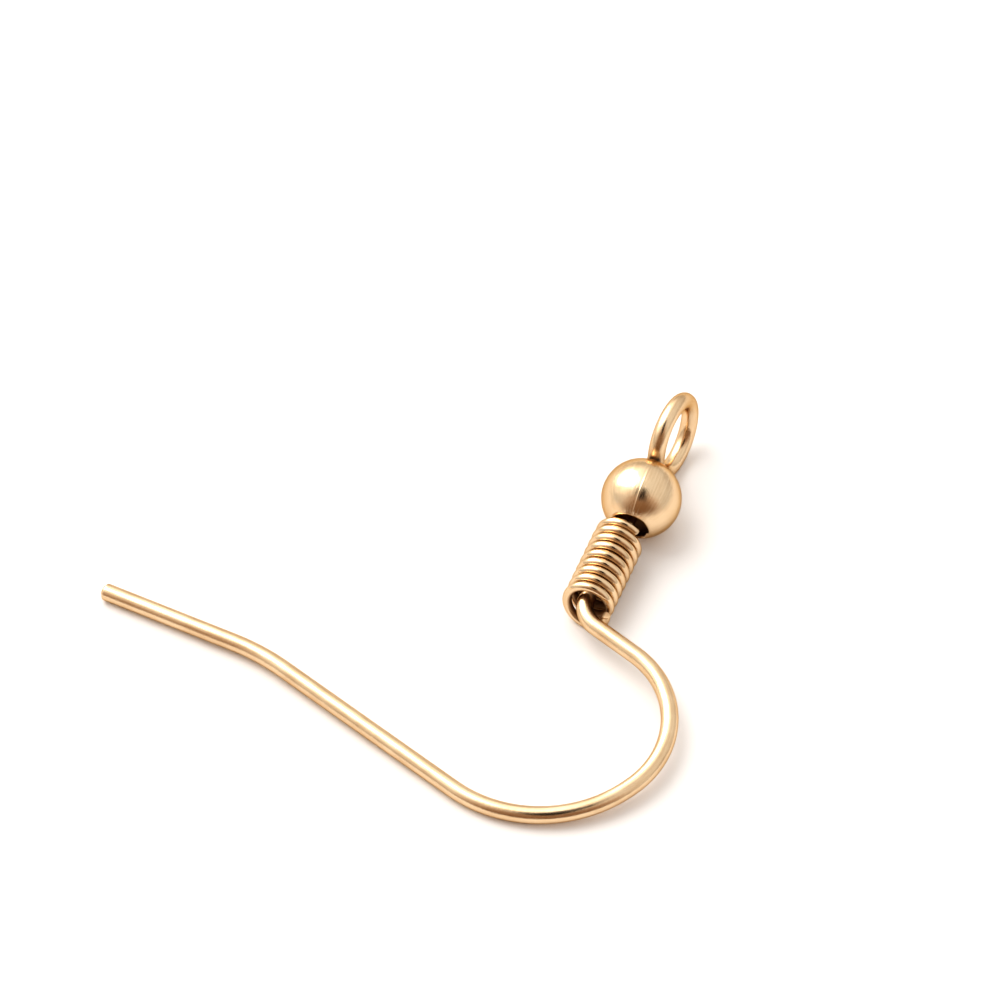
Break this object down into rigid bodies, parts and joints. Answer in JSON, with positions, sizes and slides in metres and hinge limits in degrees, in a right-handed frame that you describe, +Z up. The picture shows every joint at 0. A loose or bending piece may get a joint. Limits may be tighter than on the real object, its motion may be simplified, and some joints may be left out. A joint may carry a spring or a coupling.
{
  "type": "ear wire",
  "caption": "Fish-hook ear wire with an upright drop loop, a loose hollow bead and a loose wire coil on its shank, for hanging a drop from a pierced ear.",
  "frame": {"origin": "on the surface, below the middle of the part's box", "axes": "X along the line from the tip of the tail to the round top, +X towards the round top; +Y towards the drop loop; +Z up from the surface that the ear wire lies on"},
  "size_m": [0.0216, 0.0192, 0.0035],
  "materials": {
    "hook_wire": "polished gold-coloured wire",
    "bead": "finely brushed gold-coloured ball",
    "coil": "polished gold-coloured wire"
  },
  "bodies": {
    "hook": {"hook_wire": "hook_wire"},
    "bead": {"bead": "bead"},
    "coil": {"coil": "coil"}
  },
  "joints": [
    {"name": "bead_spin", "type": "hinge", "parent": "hook", "child": "bead", "pos_m": [0.00369, 0.0049, 0.00152], "axis": [0.2646, -0.9611, -0.0794], "continuous": true},
    {"name": "coil_spin", "type": "hinge", "parent": "hook", "child": "coil", "pos_m": [0.00428, 0.00153, 0.00106], "axis": [0.229, -0.973, -0.0286], "continuous": true}
  ]
}
